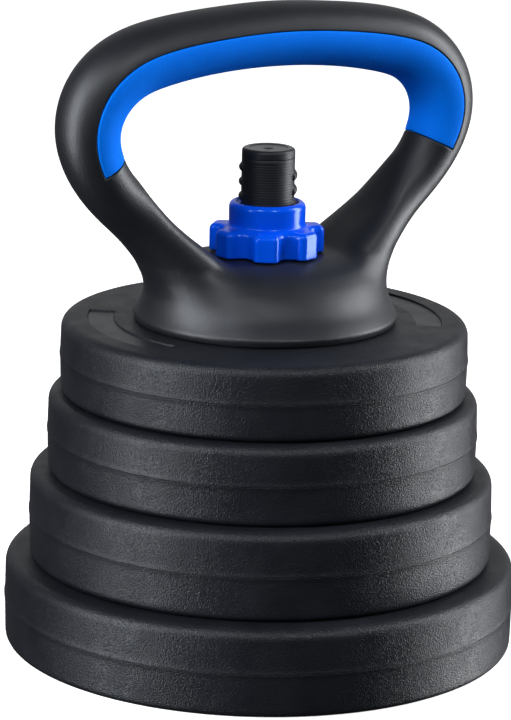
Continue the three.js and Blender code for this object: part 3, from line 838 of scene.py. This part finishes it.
def nut_field(x, y, z):
    """Below zero inside the nut: seven flat-tipped lobes, a hub, and the threaded bore."""
    radius, angle = np.hypot(x, y), np.arctan2(y, x)
    share = 2 * np.pi / LOBES
    folded = np.abs((angle - PHASE + share / 2) % share - share / 2)
    a, b = radius * np.cos(folded), radius * np.sin(folded)
    notch = NOTCH - np.hypot(a - NOTCH_AT * math.cos(share / 2), b - NOTCH_AT * math.sin(share / 2))
    star = round_max(a - TIP, notch, 3.4)
    flange = round_max(round_max(star, z - FLANGE_TOP, 2.8), NUT_BOTTOM - z, 0.7)
    hub = round_max(round_max(radius - HUB, z - NUT_TOP, 2.7), NUT_BOTTOM + 1 - z, 0.7)
    body = smooth_min(flange, hub, 2.2)
    bore = thread_radius(z, angle, THREAD_CLEARANCE)
    mouth = np.interp(z, [NUT_TOP - 3.2, NUT_TOP - 1.0, NUT_TOP], [11.0, 14.2, 14.6])
    pocket = np.where(z < GASKET_HIGH[2] + GASKET_ROOM, GASKET_HIGH[0] + GASKET_ROOM, 0.0)
    opening = np.maximum(np.maximum(bore, mouth), pocket) - radius
    return round_max(body, opening, 0.6)


reach = TIP + 2.0
nut_points, nut_faces = iso_surface(nut_field, (-reach, -reach, NUT_BOTTOM - 1.5),
                                    (reach, reach, NUT_TOP + 1.5), 0.45, relax=4)
make("star_nut_moulding", nut_points, nut_faces.tolist(), NUT, "nut", ["star_nut"], 55)

GASKET_BORE, GASKET_EDGE = 14.3, 0.4
inner, outer = GASKET_BORE + GASKET_EDGE, GASKET_HIGH[0] - GASKET_EDGE
low, high = GASKET_LOW[2] + GASKET_EDGE, GASKET_HIGH[2] - GASKET_EDGE
corners = ((inner, low, 180), (outer, low, 270), (outer, high, 0), (inner, high, 90))
gasket = [point for r, z, start in corners for point in arc(r, z, GASKET_EDGE, start, start + 90, 3)]
gasket_points, gasket_faces = revolve(gasket, 120)
make("gasket_ring", gasket_points, gasket_faces.tolist(), RUBBER, "nut_seat",
     ["nut_gasket"], 40)


# The inner pieces keep their CAD shapes and get these materials.
INNER = {"rod_core": STEEL, "rod_foot_flange": STEEL, "rod_foot_bolt": STEEL,
         **{plate + "_cement_core": CEMENT for plate in PLATES}}
for node, material in INNER.items():
    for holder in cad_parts[node].material_slots:
        holder.material = material


# ---------------------------------------------------------------- camera, light and floor
scene = bpy.context.scene
PITCH, AZIMUTH, ROLL = math.radians(13.99), math.radians(-30.0), math.radians(1.35)
DISTANCE = 1.6
AIM = Vector((0.0, 0.0, 0.140))
away = Vector((math.sin(AZIMUTH) * math.cos(PITCH), -math.cos(AZIMUTH) * math.cos(PITCH),
               math.sin(PITCH)))
camera = bpy.data.objects.new("camera", bpy.data.cameras.new("camera"))
scene.collection.objects.link(camera)
camera.location = AIM + away * DISTANCE
facing = (-away).to_track_quat("-Z", "Y").to_matrix().to_4x4()
camera.matrix_world = (Matrix.Translation(camera.location) @ facing @ Matrix.Rotation(ROLL, 4, "Z"))
camera.data.lens = 172.05
camera.data.sensor_width = 36.0
camera.data.shift_x = -0.0119
camera.data.shift_y = -0.0196
scene.camera = camera

floor_mesh = bpy.data.meshes.new("floor")
SIDE = 6.0
floor_mesh.from_pydata([(-SIDE, -SIDE, 0), (SIDE, -SIDE, 0), (SIDE, SIDE, 0), (-SIDE, SIDE, 0)], [],
                       [(0, 1, 2, 3)])
floor = bpy.data.objects.new("floor", floor_mesh)
scene.collection.objects.link(floor)
floor_nodes = Nodes("studio_floor")
floor_nodes.set(Base_Color=(0.85, 0.85, 0.85, 1.0), Roughness=0.9, Specular_IOR_Level=0.0,
                Emission_Color=(1.0, 1.0, 1.0, 1.0), Emission_Strength=0.80)
floor_mesh.materials.append(floor_nodes.material)
floor.visible_glossy = False
floor.visible_diffuse = False

# The backdrop is white where it is seen. Where it only lights the kettlebell, it is dim in front of
# it and brighter behind it.
FRONT_LEVEL, BACK_LEVEL, BACK_RISE = 0.05, 0.5, math.radians(20)
world = bpy.data.worlds.new("studio")
world.use_nodes = True
tree = world.node_tree
toward = tree.nodes.new("ShaderNodeVectorMath")
toward.operation = "DOT_PRODUCT"
tree.links.new(tree.nodes.new("ShaderNodeTexCoord").outputs["Generated"], toward.inputs[0])
toward.inputs[1].default_value = (-math.sin(AZIMUTH) * math.cos(BACK_RISE),
                                  math.cos(AZIMUTH) * math.cos(BACK_RISE), math.sin(BACK_RISE))
lit = tree.nodes.new("ShaderNodeMapRange")
tree.links.new(toward.outputs["Value"], lit.inputs["Value"])
for socket, number in zip(("From Min", "From Max", "To Min", "To Max"),
                          (0.72, 0.97, FRONT_LEVEL, BACK_LEVEL)):
    lit.inputs[socket].default_value = number
level_of = tree.nodes.new("ShaderNodeMapRange")
tree.links.new(tree.nodes.new("ShaderNodeLightPath").outputs["Is Camera Ray"], level_of.inputs["Value"])
tree.links.new(lit.outputs["Result"], level_of.inputs["To Min"])
level_of.inputs["To Max"].default_value = 1.0
backdrop = tree.nodes["Background"]
backdrop.inputs["Color"].default_value = (1.0, 1.0, 1.0, 1.0)
tree.links.new(level_of.outputs["Result"], backdrop.inputs["Strength"])
scene.world = world
scene.view_settings.view_transform = "Standard"


def softbox(name, azimuth, elevation, distance, width, height, power):
    """A large area light that looks at the kettlebell. The azimuth is measured from the camera."""
    turn = AZIMUTH + math.radians(azimuth)
    rise = math.radians(elevation)
    data = bpy.data.lights.new(name, "AREA")
    data.shape = "RECTANGLE"
    data.size, data.size_y = width, height
    data.energy = power
    lamp = bpy.data.objects.new(name, data)
    scene.collection.objects.link(lamp)
    where = AIM + distance * Vector((math.sin(turn) * math.cos(rise), -math.cos(turn) * math.cos(rise),
                                     math.sin(rise)))
    lamp.location = where
    lamp.rotation_euler = (AIM - where).to_track_quat("-Z", "Y").to_euler()


softbox("left_softbox", -62, 5, 1.6, 0.55, 2.4, 62.0)
softbox("right_softbox", 104, 5, 1.6, 0.7, 2.4, 62.0)
softbox("front_lamp_left", -25, 43, 2.4, 0.3, 0.3, 14.5)
softbox("front_lamp_right", 25, 43, 2.4, 0.3, 0.3, 14.5)
